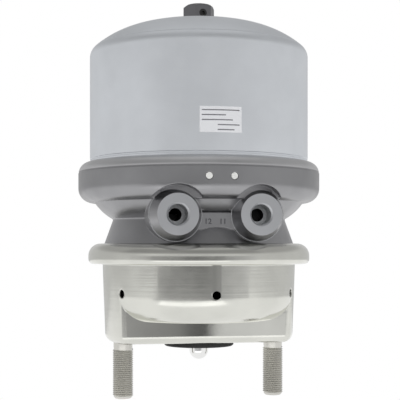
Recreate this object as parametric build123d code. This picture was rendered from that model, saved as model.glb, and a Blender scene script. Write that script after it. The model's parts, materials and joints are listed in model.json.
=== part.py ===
from build123d import *
import os
from math import acos, asin, cos, degrees, radians, sin, sqrt

# Spring brake chamber for an air disc brake: a service chamber below, a parking chamber above.
# Millimetres. The origin is the centre of the mounting face, +Z runs up the axis to the
# parking chamber, and -Y is the front, where both air ports open.

# General walls and clearances
steel_wall = 3.0
fit_gap = 0.05          # radial gap of a press or running fit
soft_gap = 0.3          # gap beside rubber and between curved faces
piston_gap = 0.6        # radial gap between the parking piston and the can
spring_gap = 0.5        # radial gap between the power spring and the piston's rim
piston_stroke = 57.0

# Service housing, a deep drawn steel cup on a flat-sided foot
stud_edge = 14.875          # from a stud's centre out to the cup's side
cup_flare = 0.8             # widening of the side up to the rolled bead
cup_side_height = 23.7
cup_corner = 20.0
cup_floor_z = 17.0
foot_step = 1.4             # the foot's round ends stay this far inside the cup's side
foot_margin = 4.5           # from the spring seat's edge out to the foot's flat side
foot_draft = 2.0
foot_corner = 6.5
foot_edge = 6.0
drain_count = 6
drain_radius = 3.2
drain_rise = 1.6            # above the cup's rounded corner

# Rolled bead that grips the centre body and the diaphragm
bead_reach = 11.2           # beyond the cup's side
bead_height = 15.8
bead_low_corner = 3.7
bead_top_corner = 9.5
bead_wall = 2.5

# Studs on the mounting face
stud_spacing = 120.65
stud_radius = 8.0
stud_length = 44.5
stud_chamfer = 1.2
stud_neck_radius = 7.8      # inside the floor
stud_head_inner = 9.5
stud_head_outer = 6.9
stud_head_width = 24.0
stud_head_height = 5.0
stud_head_corner = 6.0

# Sealing boot, its clip and the spring seat on the housing floor
boot_hole_radius = 24.5
boot_lip_width = 3.0        # beyond the hole
boot_lip_height = 4.0
boot_recess = 1.0           # depth of the recess round the hole, which holds the lip
boot_inner_lip_height = 2.5
boot_wall = 1.6
boot_folds = 5
boot_fold_depth = 3.5
boot_cuff_wall = 2.45
boot_cuff_height = 6.0
boot_cuff_gap = 1.2         # below the widening of the rod
clip_thickness = 1.2
clip_height = 4.0
seat_plate_thickness = 2.0
seat_plate_edge = 1.3       # outside the spring
seat_plate_land = 0.8       # inside the spring

# Pushrod and its plate
rod_radius = 7.5
rod_tip_z = -15.0
rod_plate_margin = 12.2     # smaller than the casting's neck
rod_plate_thickness = 3.5
rod_plate_bend = 6.0
rod_plate_rim = 6.5
rod_hub_step = 4.5          # widening of the rod under its plate
rod_hub_height = 9.0

# Diaphragm
diaphragm_wall = 3.2
diaphragm_rim_height = 5.8
diaphragm_rim_width = 8.0
diaphragm_rim_bevel = 1.6
diaphragm_bulge = 6.4       # drop of the convolution beside the pushrod plate

# Centre body, a casting between the two chambers
body_web_rise = 11.5        # over the bead
body_web_thickness = 10.0
body_wall = 5.5
neck_inset = 12.6           # from the bead's edge in to the foot of the neck
neck_taper = 6.4
neck_height = 18.0
neck_lip = 0.95             # metal left at the neck's foot
bell_height = 14.0          # the bell widens from the neck to the shoulder
bell_bow_out = 0.4          # its middle lies outside and below a straight slope
bell_bow_down = 0.6
bell_inside_bow = 0.7
shoulder_flat = 2.0
rim_radius = 95.0           # the widest part of the chamber
rim_wall = 3.7              # round the can's flange
rim_low_corner = 11.0
rim_lip_start = 0.1         # below the top of the can's flange
rim_lip_height = 8.4        # of the lip rolled over the can's flange
rim_lip_inset = 2.4         # the lip's round halfway up
rim_lip_rise = 5.2
socket_rise = 15.0          # from the shoulder up to the can's seat
hub_wall = 7.95
hub_end_land = 3.5          # metal above the hub's last groove

# Air ports, threaded for a 16 mm fitting
port_spacing = 60.4
port_rise = 9.0             # over the web's underside
port_length = 13.5          # from the pad to the machined face
port_radius = 15.0          # machined face of a boss; its side widens to the pad
port_thread_radius = 7.25
port_thread_depth = 15.0
port_chamfer = 1.1
port_air_radius = 4.75
port_12_depth = 36.0        # to the parking chamber above the web
port_11_depth = 27.0        # to the drilling down to the service chamber
port_11_drill_radius = 3.0
port_11_drill_inset = 24.0  # behind the machined face
port_11_drill_length = 22.0
port_pocket_gap = 2.0       # between a pad and the pocket in the rim above it
port_pocket_wall = 3.5      # metal left between a pocket and the chamber
port_flare = 4.5            # widening of a boss down to its pad
port_pad_rise = 6.3         # of the pads' face over the neck
port_root_depth = 22.8      # from the pad's face to the casting's inside
port_web_drop = 9.0         # of the web between the pads, below and above the ports' axis
port_web_top = 1.6
port_web_fillet = 7.0

# Breather plugs in the rim
breather_radius = 2.5
breather_floor = 0.7        # metal left behind a plug
breather_angle = 5.5
breather_rise = 4.5         # above the rim's lower corner

# Spring housing, a domed aluminium can
can_wall = 4.0
can_flange_width = 5.0
can_flange_height = 8.0
can_side_height = 98.5
knee_radius = 10.0
knee_lean = 50.0            # angle of the knee's arc
shoulder_arc_radius = 80.0
crown_radius = 200.0
crown_boss_height = 9.0
crown_face_margin = 3.0     # of the nut's seat beyond the nut's flats
crown_boss_margin = 2.0     # of the boss beyond the nut's seat
seal_section = 1.6

# Parking piston, its tube and seals
piston_web_thickness = 6.0
piston_rim_thickness = 7.5
piston_draft = 2.0          # widening of the rim and hub at the web
piston_land = 3.0           # metal beside the seal's groove
piston_top_land = 4.0       # metal above the guide ring's groove
piston_hub_wall = 5.95
piston_hub_height = 14.0
piston_end_gap = 5.0
piston_seal_height = 5.0
piston_ring_height = 3.0
groove_depth = 3.0
tube_bore = 11.0
tube_wall = 4.0
tube_shoulder = 5.0
thrust_foot_margin = 4.0
thrust_foot_thickness = 5.0
thrust_spigot_height = 9.0
hub_land = 2.0              # metal beside the hub's grooves
hub_seal_height = 4.0
hub_seal_depth = 3.2
hub_bush_height = 8.0
hub_bush_depth = 2.0

# Springs
power_wire = 5.4
power_taper = 21.0          # the spring narrows by this towards the crown
power_turns = 4.0
return_wire = 2.2
return_margin = 1.8         # inside the flat of the rod's plate
return_turns = 5.0

# Release bolt through the crown
bolt_radius = 6.0
bolt_end_gap = 4.0          # above the thrust foot's spigot
bolt_collar_margin = 5.0
bolt_collar_height = 4.0
washer_thickness = 2.5
nut_across_flats = 22.0
nut_height = 12.8
nut_turn = 7.7              # front flat turned to the right
nut_screw_radius = 3.0
nut_screw_share = 0.42      # of the nut's height
nut_screw_length = 5.5
nut_screw_socket = 1.5
nut_cap = 1.6               # metal left over the bolt's end
nut_chamfer_height = 3.2
nut_chamfer_width = 4.8
traveller_height = 12.0
traveller_rise = 2.0

# Radii and depths that follow from the sizes above
cup_foot_radius = stud_spacing / 2 + stud_edge
cup_top_radius = cup_foot_radius + cup_flare
foot_radius = cup_foot_radius - foot_step
bead_radius = cup_top_radius + bead_reach
bead_inner_radius = bead_radius - bead_wall
boot_lip_radius = boot_hole_radius + boot_lip_width
boot_recess_radius = boot_lip_radius + soft_gap
boot_cuff_radius = rod_radius + fit_gap + boot_cuff_wall
rod_hub_radius = rod_radius + rod_hub_step
return_low_radius = boot_hole_radius + seat_plate_land + return_wire
seat_plate_radius = return_low_radius + return_wire + seat_plate_edge
foot_half_depth = seat_plate_radius + foot_margin
neck_foot_radius = bead_radius - neck_inset
neck_radius = neck_foot_radius - neck_taper
chamber_radius = neck_foot_radius - neck_lip
ceiling_radius = neck_radius - body_wall
rod_plate_radius = neck_radius - rod_plate_margin
return_top_radius = rod_plate_radius - rod_plate_bend - return_margin - return_wire
socket_radius = rim_radius - rim_wall
can_flange_radius = socket_radius - soft_gap
can_radius = can_flange_radius - can_flange_width
can_bore = can_radius - can_wall
chamber_step_radius = can_bore - soft_gap
shoulder_radius = rim_radius - rim_low_corner - shoulder_flat
rim_lip_radius = rim_radius - rim_lip_inset
bell_radius = (neck_radius + shoulder_radius) / 2 + bell_bow_out
bell_inside_radius = (ceiling_radius + chamber_step_radius) / 2 - bell_inside_bow
housing_seal_radius = (can_radius + can_flange_radius) / 2
port_pad_y = -(neck_radius + port_pad_rise)
port_face_y = port_pad_y - port_length
port_pad_radius = port_radius + port_flare
port_clearance_radius = port_pad_radius + port_pocket_gap
port_pocket_floor = chamber_step_radius + port_pocket_wall
port_11_drill_y = port_face_y + port_11_drill_inset
breather_depth = rim_wall - breather_floor
tube_radius = tube_bore + tube_wall
hub_bore = tube_radius + fit_gap
hub_radius = hub_bore + hub_wall
piston_radius = can_bore - piston_gap
piston_hub_radius = hub_bore + piston_hub_wall
thrust_foot_radius = tube_radius + thrust_foot_margin
foot_recess = thrust_foot_radius + soft_gap
power_low_radius = (
    piston_radius - piston_rim_thickness - piston_draft - spring_gap - power_wire
)
power_top_radius = power_low_radius - power_taper
bolt_collar_radius = bolt_radius + bolt_collar_margin
crown_face_radius = nut_across_flats / 2 + crown_face_margin
crown_boss_radius = crown_face_radius + crown_boss_margin

# Heights that follow, from the mounting face up
boot_lip_top_z = steel_wall + boot_inner_lip_height
cup_side_z = cup_floor_z + cup_corner
drain_z = cup_side_z + drain_rise
bead_bottom_z = cup_side_z + cup_side_height
bead_top_z = bead_bottom_z + bead_height
bead_inside_z = bead_bottom_z + bead_wall
diaphragm_rim_top_z = bead_inside_z + diaphragm_rim_height
body_web_bottom_z = bead_top_z + body_web_rise
diaphragm_top_z = body_web_bottom_z - soft_gap
plate_top_z = diaphragm_top_z - diaphragm_wall - soft_gap
plate_low_z = plate_top_z - rod_plate_thickness
rod_hub_low_z = plate_low_z - rod_hub_height
boot_cuff_z = rod_hub_low_z - rod_hub_step - boot_cuff_gap - boot_cuff_height
port_z = body_web_bottom_z + port_rise
port_web_low_z = port_z - port_web_drop
port_web_high_z = port_z + port_web_top
port_11_drill_low_z = port_z - port_11_drill_length
web_top_z = body_web_bottom_z + body_web_thickness
hub_seal_z = web_top_z + hub_land
hub_bush_z = hub_seal_z + hub_seal_height + hub_land
hub_top_z = hub_bush_z + hub_bush_height + hub_end_land
neck_z = bead_top_z + neck_height
shoulder_z = neck_z + bell_height
bell_z = (neck_z + shoulder_z) / 2 - bell_bow_down
chamber_side_z = shoulder_z + body_wall
bell_inside_z = (web_top_z + chamber_side_z) / 2
breather_z = shoulder_z + rim_low_corner + breather_rise
can_bottom_z = shoulder_z + socket_rise
can_flange_top_z = can_bottom_z + can_flange_height
rim_edge_z = can_flange_top_z - rim_lip_start
rim_lip_z = rim_edge_z + rim_lip_rise
rim_top_z = rim_edge_z + rim_lip_height
can_straight_z = can_bottom_z + can_side_height
piston_low_z = hub_top_z + piston_stroke + piston_end_gap
piston_web_top_z = piston_low_z + piston_web_thickness
piston_seal_z = piston_low_z + piston_land
piston_ring_z = piston_seal_z + piston_seal_height + piston_land
piston_rim_top_z = piston_ring_z + piston_ring_height + piston_top_land
tube_low_z = body_web_bottom_z + thrust_foot_thickness
foot_recess_z = tube_low_z + soft_gap
tube_top_z = piston_web_top_z + piston_hub_height
bolt_low_z = body_web_bottom_z + thrust_spigot_height + bolt_end_gap

# The can's dome: three tangent arcs from its side to the axis
cup_slope = cup_flare / cup_side_height
knee_centre_r = can_radius - knee_radius
shoulder_arc_r = knee_centre_r - (shoulder_arc_radius - knee_radius) * cos(radians(knee_lean))
shoulder_arc_z = can_straight_z - (shoulder_arc_radius - knee_radius) * sin(radians(knee_lean))
crown_lean = degrees(acos(shoulder_arc_r / (crown_radius - shoulder_arc_radius)))
crown_centre_z = shoulder_arc_z - (crown_radius - shoulder_arc_radius) * sin(radians(crown_lean))
crown_top_z = crown_centre_z + crown_radius
boss_low_z = crown_top_z - can_wall - crown_boss_height
nut_seat_z = crown_centre_z + sqrt(crown_radius**2 - crown_face_radius**2)
nut_top_z = crown_top_z + nut_height


def ring(inner, outer, low, height):
    """A plain ring on the axis."""
    section = Pos((inner + outer) / 2, 0, low + height / 2) * Rot(90, 0, 0) * Rectangle(
        outer - inner, height
    )
    return revolve(section, Axis.Z)


def turned(*edges):
    """A solid of revolution from the edges of its closed half section in XZ."""
    return revolve(make_face(Wire(edges)), Axis.Z)


def path(*points):
    """Straight edges through points given as radius and height."""
    spots = [(r, 0, z) for r, z in points]
    return [Line(a, b) for a, b in zip(spots, spots[1:])]


def bow(start, middle, end):
    """One arc through three points given as radius and height."""
    return ThreePointArc(*[(r, 0, z) for r, z in (start, middle, end)])


def around(centre_r, centre_z, radius, angle):
    """The point at an angle in degrees on a circle of the half section."""
    turn = radians(angle)
    return centre_r + radius * cos(turn), centre_z + radius * sin(turn)


def corner(centre_r, centre_z, radius, first, last):
    """An arc about a point of the half section, from one angle to another in degrees."""
    angles = (first, (first + last) / 2, last)
    return bow(*[around(centre_r, centre_z, radius, angle) for angle in angles])


def coil(wire, low_radius, top_radius, low_z, height, turns):
    """A helical spring whose coils may narrow upwards, with its wire section round."""
    lean = Vector(top_radius - low_radius, height).get_angle(Vector(0, 1))
    spine = Helix(
        pitch=height / turns,
        height=height,
        radius=low_radius,
        center=(0, 0, low_z),
        cone_angle=lean if top_radius > low_radius else -lean,
    )
    section = Plane(spine @ 0, z_dir=spine % 0) * Circle(wire)
    return sweep(section, path=spine)


def cup_form(inset, top_z):
    """The round cup down to its own floor; inset moves it in by a wall."""
    low = cup_floor_z + inset
    turn_z = cup_side_z
    wall_low = cup_foot_radius - inset
    wall_top = wall_low + cup_slope * (top_z - turn_z)
    radius = cup_corner - inset
    return turned(
        *path((0, top_z), (0, low), (wall_low - radius, low)),
        corner(wall_low - radius, turn_z, radius, -90, 0),
        *path((wall_low, turn_z), (wall_top, top_z), (0, top_z)),
    )


def foot_form(inset):
    """The flat-sided foot under the cup, which carries the mounting face."""
    radius = foot_radius - inset
    half = foot_half_depth - inset
    height = cup_side_z - inset
    plan = Circle(radius) & Rectangle(2 * foot_radius, 2 * half)
    plan = fillet(plan.vertices(), foot_corner - inset)
    block = extrude(Pos(0, 0, inset) * plan, height, taper=-foot_draft)
    edge = block.faces().sort_by(Axis.Z)[0].outer_wire().edges()
    return fillet(edge, foot_edge - inset)


def bead_section_edges(inset):
    """Outer side of the bead from its underside round to its lip, moved in by inset."""
    reach = bead_radius - bead_low_corner
    crest = bead_top_z - bead_top_corner
    lip = bead_radius - bead_top_corner
    return [
        corner(reach, bead_bottom_z + bead_low_corner, bead_low_corner - inset, -90, 0),
        *path((bead_radius - inset, bead_bottom_z + bead_low_corner), (bead_radius - inset, crest)),
        corner(lip, crest, bead_top_corner - inset, 0, 90),
    ]


def service_housing():
    """The steel cup with its rolled bead, foot, drain holes and mounting holes."""
    shell = cup_form(0, bead_inside_z) + foot_form(0)
    outer = bead_section_edges(0)
    inner = bead_section_edges(bead_wall)
    inner_wall = cup_foot_radius - steel_wall
    reach = bead_radius - bead_low_corner
    lip = bead_radius - bead_top_corner
    bead = turned(
        *path((inner_wall, bead_bottom_z), (reach, bead_bottom_z)),
        *outer,
        *path((lip, bead_top_z), (lip, bead_top_z - bead_wall)),
        *inner,
        *path((reach, bead_inside_z), (inner_wall, bead_inside_z), (inner_wall, bead_bottom_z)),
    )
    shell += bead
    shell -= cup_form(steel_wall, bead_inside_z + steel_wall)
    shell -= foot_form(steel_wall)
    shell -= Cylinder(boot_hole_radius, 4 * steel_wall)
    shell -= Cylinder(boot_recess_radius, 2 * boot_recess)
    for side in (-1, 1):
        shell -= Pos(side * stud_spacing / 2, 0, 0) * Cylinder(stud_radius + fit_gap, 4 * steel_wall)
    drill = Rot(90, 0, 0) * Cylinder(drain_radius, cup_top_radius)
    for step in range(drain_count):
        shell -= Rot(0, 0, 360 * step / drain_count) * Pos(0, -cup_top_radius, drain_z) * drill
    return shell


def mounting_studs():
    """Two studs with a neck in the floor and flat heads that bear on its inside."""
    studs = []
    head_width = stud_head_inner + stud_head_outer
    for side in (-1, 1):
        shank = ring(0, stud_radius, -stud_length, stud_length)
        tip = shank.edges().sort_by(Axis.Z)[0]
        shank = chamfer(tip, stud_chamfer) + ring(0, stud_neck_radius, 0, steel_wall)
        head = Pos(side * (head_width / 2 - stud_head_inner), 0, steel_wall) * Box(
            head_width,
            stud_head_width,
            stud_head_height,
            align=(Align.CENTER, Align.CENTER, Align.MIN),
        )
        head = fillet(head.edges().filter_by(Axis.Z), stud_head_corner)
        studs.append(Pos(side * stud_spacing / 2, 0, 0) * (shank + head))
    return Compound(studs)


def sealing_boot():
    """Rubber boot: a lip that seals against the caliper, a neck, folds and a cuff on the rod."""
    neck = boot_hole_radius - fit_gap
    neck_inner = neck - boot_wall - boot_wall
    cuff_inner = rod_radius + fit_gap
    fold_start = boot_lip_top_z
    fold_height = (boot_cuff_z - fold_start) / boot_folds
    outer_points = [(neck_inner + boot_wall, fold_start)]
    inner_points = [(neck_inner, fold_start)]
    lean = (neck_inner - cuff_inner - boot_wall) / boot_folds
    for fold in range(boot_folds):
        crest_r = neck_inner - lean * fold
        crest_z = fold_start + fold_height * (fold + 0.5)
        root_r = neck_inner - lean * (fold + 1)
        root_z = fold_start + fold_height * (fold + 1)
        inner_points += [(crest_r + boot_fold_depth - boot_wall, crest_z), (root_r, root_z)]
        outer_points += [(crest_r + boot_fold_depth, crest_z), (root_r + boot_wall, root_z)]
    cuff_top = boot_cuff_z + boot_cuff_height
    section = [
        (neck_inner, -boot_lip_height),
        (boot_lip_radius, -boot_lip_height),
        (boot_lip_radius, boot_recess),
        (neck, boot_recess),
        (neck, steel_wall),
        (boot_lip_radius, steel_wall),
        (boot_lip_radius, boot_lip_top_z),
        *outer_points,
        (boot_cuff_radius, boot_cuff_z),
        (boot_cuff_radius, cuff_top),
        (cuff_inner, cuff_top),
        (cuff_inner, boot_cuff_z),
        *reversed(inner_points),
        (neck_inner, -boot_lip_height),
    ]
    return turned(*path(*section))


def boot_clip():
    """Steel band that holds the boot's cuff on the rod."""
    low = boot_cuff_z + (boot_cuff_height - clip_height) / 2
    inner = boot_cuff_radius + fit_gap
    return ring(inner, inner + clip_thickness, low, clip_height)


def spring_seat():
    """Steel plate that holds the boot's inner lip down and seats the return spring."""
    return ring(boot_hole_radius, seat_plate_radius, boot_lip_top_z, seat_plate_thickness)


def pushrod():
    """Round rod with a ball end for the brake lever and a hub under its plate."""
    ball_z = rod_tip_z + rod_radius
    hub_low = rod_hub_low_z
    return turned(
        corner(0, ball_z, rod_radius, -90, 0),
        *path(
            (rod_radius, ball_z),
            (rod_radius, hub_low - rod_hub_radius + rod_radius),
            (rod_hub_radius, hub_low),
            (rod_hub_radius, plate_low_z),
            (0, plate_low_z),
            (0, rod_tip_z),
        ),
    )


def pushrod_plate():
    """Pressed plate under the diaphragm, with its rim turned down round the return spring."""
    bend_r = rod_plate_radius - rod_plate_bend
    bend_z = plate_top_z - rod_plate_bend
    inner = rod_plate_radius - rod_plate_thickness
    rim_low = plate_top_z - rod_plate_rim
    return turned(
        *path((0, plate_low_z), (0, plate_top_z), (bend_r, plate_top_z)),
        corner(bend_r, bend_z, rod_plate_bend, 90, 0),
        *path((rod_plate_radius, bend_z), (rod_plate_radius, rim_low), (inner, rim_low)),
        *path((inner, rim_low), (inner, bend_z)),
        corner(bend_r, bend_z, rod_plate_bend - rod_plate_thickness, 0, 90),
        *path((bend_r, plate_low_z), (0, plate_low_z)),
    )


def return_spring():
    """Conical spring that returns the pushrod; its coils telescope when it is squeezed."""
    low = boot_lip_top_z + seat_plate_thickness + return_wire
    high = plate_low_z - return_wire - soft_gap
    return coil(return_wire, return_low_radius, return_top_radius, low, high - low, return_turns)


def diaphragm():
    """Rubber diaphragm at rest: its rim in the bead, its middle up against the centre body."""
    rim_outer = bead_inner_radius - soft_gap
    rim_inner = rim_outer - diaphragm_rim_width
    low = bead_inside_z
    top = diaphragm_rim_top_z
    middle = (low + top) / 2
    half = diaphragm_wall / 2
    knee_r = rod_plate_radius + diaphragm_wall
    under = diaphragm_top_z - diaphragm_wall
    return turned(
        *path(
            (rim_inner, low),
            (rim_outer - diaphragm_rim_bevel, low),
            (rim_outer, low + diaphragm_rim_bevel),
            (rim_outer, top),
            (rim_inner, top),
            (rim_inner - half, middle + half),
            (knee_r + diaphragm_wall, diaphragm_top_z - diaphragm_bulge),
            (knee_r, diaphragm_top_z),
            (0, diaphragm_top_z),
            (0, under),
            (knee_r - half, under),
            (knee_r + half, diaphragm_top_z - diaphragm_bulge - half),
            (rim_inner - diaphragm_wall, middle - half),
            (rim_inner, low),
        )
    )


def body_blank():
    """The casting's outer shape, turned, from the flange in the bead up to the rolled rim."""
    flange_low = diaphragm_rim_top_z
    crest = bead_top_z - bead_top_corner
    lip = bead_radius - bead_top_corner
    round_r = bead_top_corner - bead_wall - soft_gap
    edge_lean = degrees(asin((flange_low - crest) / round_r))
    edge_r, _ = around(lip, crest, round_r, edge_lean)
    return turned(
        *path((0, flange_low), (edge_r, flange_low)),
        corner(lip, crest, round_r, edge_lean, 90),
        *path((lip, crest + round_r), (neck_foot_radius, bead_top_z), (neck_radius, neck_z)),
        bow((neck_radius, neck_z), (bell_radius, bell_z), (shoulder_radius, shoulder_z)),
        *path((shoulder_radius, shoulder_z), (rim_radius - rim_low_corner, shoulder_z)),
        corner(
            rim_radius - rim_low_corner, shoulder_z + rim_low_corner, rim_low_corner, -90, 0
        ),
        *path((rim_radius, shoulder_z + rim_low_corner), (rim_radius, rim_edge_z)),
        bow(
            (rim_radius, rim_edge_z),
            (rim_lip_radius, rim_lip_z),
            (can_radius + soft_gap, rim_top_z),
        ),
        *path((can_radius + soft_gap, rim_top_z), (0, rim_top_z), (0, flange_low)),
    )


def upper_chamber():
    """The space above the web, with the socket in which the can's flange is held."""
    socket_top = can_flange_top_z + soft_gap
    throat_r = can_radius + soft_gap
    step_r = chamber_step_radius
    side_z = chamber_side_z
    return turned(
        *path(
            (0, rim_top_z),
            (0, hub_top_z),
            (hub_radius, hub_top_z),
            (hub_radius, web_top_z),
            (ceiling_radius, web_top_z),
        ),
        bow((ceiling_radius, web_top_z), (bell_inside_radius, bell_inside_z), (step_r, side_z)),
        *path(
            (step_r, side_z),
            (step_r, can_bottom_z),
            (socket_radius, can_bottom_z),
            (socket_radius, socket_top),
            (throat_r, socket_top),
            (throat_r, rim_top_z),
            (0, rim_top_z),
        ),
    )


def lower_chamber():
    """The space under the web, with the foot's recess and the bore for the tube."""
    return turned(
        *path(
            (0, diaphragm_rim_top_z),
            (chamber_radius, diaphragm_rim_top_z),
            (chamber_radius, bead_top_z),
            (ceiling_radius, body_web_bottom_z),
            (foot_recess, body_web_bottom_z),
            (foot_recess, foot_recess_z),
            (hub_bore, foot_recess_z),
            (hub_bore, hub_top_z),
            (0, hub_top_z),
            (0, diaphragm_rim_top_z),
        )
    )


def port_boss_forms():
    """Both round bosses with the pads and the arched web that join them to the casting."""
    boss = Cone(
        port_pad_radius,
        port_radius,
        port_pad_y - port_face_y,
        align=(Align.CENTER, Align.CENTER, Align.MIN),
    )
    bosses = Part()
    pads = Sketch() + Pos(0, (port_web_low_z + port_web_high_z) / 2) * Rectangle(
        port_spacing, port_web_high_z - port_web_low_z
    )
    for side in (-1, 1):
        spot = Pos(side * port_spacing / 2, port_z)
        bosses += Plane.XZ.offset(-port_pad_y) * spot * boss
        pads += spot * Circle(port_pad_radius)
    notches = [v for v in pads.vertices() if abs(v.X) < port_spacing / 2 and v.Y < port_z]
    pads = fillet(notches, port_web_fillet)
    return bosses + extrude(Plane.XZ.offset(-port_pad_y) * pads, -port_root_depth)


def centre_body():
    """Aluminium casting: grips the can above, the diaphragm below, and carries the ports."""
    from_low = (Align.CENTER, Align.CENTER, Align.MIN)
    casting = body_blank()
    chamber_wall = ring(0, port_pocket_floor, bell_z, rim_top_z - bell_z)
    for side in (-1, 1):
        root = Pos(side * port_spacing / 2, port_pad_y, port_z) * Rot(90, 0, 0)
        pocket = root * Cylinder(port_clearance_radius, rim_radius, align=from_low)
        casting -= pocket - chamber_wall
    casting += port_boss_forms()
    casting -= upper_chamber()
    casting -= lower_chamber()
    for side, depth in ((-1, port_12_depth), (1, port_11_depth)):
        mouth = Pos(side * port_spacing / 2, port_face_y, port_z) * Rot(-90, 0, 0)
        casting -= mouth * Cylinder(port_air_radius, depth, align=from_low)
        casting -= mouth * Cylinder(port_thread_radius, port_thread_depth, align=from_low)
        casting -= mouth * Cone(
            port_thread_radius + port_chamfer, port_thread_radius, port_chamfer, align=from_low
        )
    # Port 11 turns down into the service chamber.
    casting -= Pos(port_spacing / 2, port_11_drill_y, port_11_drill_low_z) * Cylinder(
        port_11_drill_radius, port_z - port_11_drill_low_z, align=from_low
    )
    for side in (-1, 1):
        casting -= breather_place(side) * Cylinder(breather_radius, 2 * breather_depth)
    # Grooves for the tube's seal and bush, and for the can's O-ring.
    casting -= ring(hub_bore, hub_bore + hub_seal_depth, hub_seal_z, hub_seal_height)
    casting -= ring(hub_bore, hub_bore + hub_bush_depth, hub_bush_z, hub_bush_height)
    groove = seal_section + fit_gap
    casting -= ring(
        housing_seal_radius - groove,
        housing_seal_radius + groove,
        can_bottom_z - 2 * seal_section,
        2 * seal_section,
    )
    return casting


def breather_place(side):
    """Centre of a breather's outer face on the rim, turned to face outwards."""
    turn = Rot(0, 0, side * breather_angle)
    return turn * Pos(0, -rim_radius, breather_z) * Rot(90, 0, 0)


def breather_plugs():
    """Two white porous plugs that let the rim's drilling breathe."""
    plugs = []
    for side in (-1, 1):
        plug = Cylinder(
            breather_radius - fit_gap,
            breather_depth - 2 * fit_gap,
            align=(Align.CENTER, Align.CENTER, Align.MAX),
        )
        plugs.append(breather_place(side) * plug)
    return Compound(plugs)


def housing_seal():
    """O-ring between the can's flange and the casting."""
    middle = Pos(housing_seal_radius, 0, can_bottom_z - seal_section)
    return revolve(middle * Rot(90, 0, 0) * Circle(seal_section - fit_gap), Axis.Z)


def hub_ring(low, height, depth):
    """A ring that fills a groove in the hub's bore."""
    return ring(hub_bore, hub_bore + depth - fit_gap, low + fit_gap, height - 2 * fit_gap)


def tube_seal():
    """Rubber ring that seals the tube in the hub."""
    return hub_ring(hub_seal_z, hub_seal_height, hub_seal_depth)


def tube_bush():
    """Plastic bush that guides the tube in the hub."""
    return hub_ring(hub_bush_z, hub_bush_height, hub_bush_depth)


def crown_edges(inset):
    """The can's knee, shoulder and crown, three tangent arcs from the wall to the axis."""
    crown = crown_radius - inset
    return [
        corner(knee_centre_r, can_straight_z, knee_radius - inset, 0, knee_lean),
        corner(
            shoulder_arc_r, shoulder_arc_z, shoulder_arc_radius - inset, knee_lean, crown_lean
        ),
        corner(0, crown_centre_z, crown, crown_lean, 90),
    ]


def spring_housing():
    """Aluminium can with a domed crown, a clamped flange and a boss for the release bolt."""
    inner_r = can_bore
    flange_top = can_flange_top_z
    can = turned(
        *path(
            (inner_r, can_bottom_z),
            (can_flange_radius, can_bottom_z),
            (can_flange_radius, flange_top),
            (can_radius, flange_top),
            (can_radius, can_straight_z),
        ),
        *crown_edges(0),
        *path((0, crown_top_z), (0, crown_top_z - can_wall)),
        *crown_edges(can_wall),
        *path((inner_r, can_straight_z), (inner_r, can_bottom_z)),
    )
    can += ring(0, crown_boss_radius, boss_low_z, crown_boss_height + can_wall / 2)
    bolt_hole = bolt_radius + fit_gap
    can -= ring(0, bolt_hole, boss_low_z, crown_top_z - boss_low_z)
    return can - ring(0, crown_face_radius, nut_seat_z, crown_top_z - nut_seat_z)


def dome_inside_z(radius):
    """Height of the dome's inside at a radius, on its crown or on its shoulder."""
    crown_inside = crown_radius - can_wall
    if radius <= crown_inside * cos(radians(crown_lean)):
        return crown_centre_z + sqrt(crown_inside**2 - radius**2)
    reach = radius - shoulder_arc_r
    return shoulder_arc_z + sqrt((shoulder_arc_radius - can_wall) ** 2 - reach**2)


def power_spring():
    """Heavy conical parking spring, squeezed between the piston and the crown."""
    low = piston_web_top_z + power_wire
    ceiling = dome_inside_z(power_top_radius + power_wire)
    high = ceiling - power_wire - soft_gap
    return coil(power_wire, power_low_radius, power_top_radius, low, high - low, power_turns)


def parking_piston():
    """Dished aluminium piston with grooves for its seal and guide ring."""
    rim_inner = piston_radius - piston_rim_thickness
    rim_top = piston_rim_top_z
    hub_top = tube_top_z
    bore = hub_bore
    disc = turned(
        *path(
            (bore, piston_low_z),
            (piston_radius, piston_low_z),
            (piston_radius, rim_top),
            (rim_inner, rim_top),
            (rim_inner - piston_draft, piston_web_top_z),
            (piston_hub_radius + piston_draft, piston_web_top_z),
            (piston_hub_radius, hub_top - tube_shoulder),
            (bore, hub_top - tube_shoulder),
            (bore, piston_low_z),
        )
    )
    floor_r = piston_radius - groove_depth
    disc -= ring(floor_r, piston_radius, piston_seal_z, piston_seal_height)
    disc -= ring(floor_r, piston_radius, piston_ring_z, piston_ring_height)
    return disc


def groove_ring(low, height):
    """A ring that fills a groove of the piston and runs on the can's bore."""
    outer = can_bore - 2 * fit_gap
    inner = piston_radius - groove_depth + fit_gap
    return ring(inner, outer, low + fit_gap, height - 2 * fit_gap)


def piston_seal():
    """Rubber seal of the parking piston."""
    return groove_ring(piston_seal_z, piston_seal_height)


def piston_guide_ring():
    """Plastic guide ring of the parking piston."""
    return groove_ring(piston_ring_z, piston_ring_height)


def piston_tube():
    """Steel tube that carries the piston's push to the diaphragm; its top end catches the bolt's nut."""
    catch_z = tube_top_z - tube_shoulder
    bolt_way = bolt_radius + 2 * soft_gap
    collar_r = piston_hub_radius
    return turned(
        *path(
            (tube_bore, tube_low_z),
            (tube_radius, tube_low_z),
            (tube_radius, catch_z),
            (collar_r, catch_z),
            (collar_r, tube_top_z),
            (bolt_way, tube_top_z),
            (bolt_way, catch_z),
            (tube_bore, catch_z),
            (tube_bore, tube_low_z),
        )
    )


def thrust_foot():
    """Foot that closes the tube's lower end and bears on the diaphragm."""
    spigot = tube_bore - fit_gap
    low = body_web_bottom_z
    foot = ring(0, thrust_foot_radius, low, thrust_foot_thickness)
    rise = thrust_spigot_height - thrust_foot_thickness
    return foot + ring(0, spigot, low + thrust_foot_thickness, rise)


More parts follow.
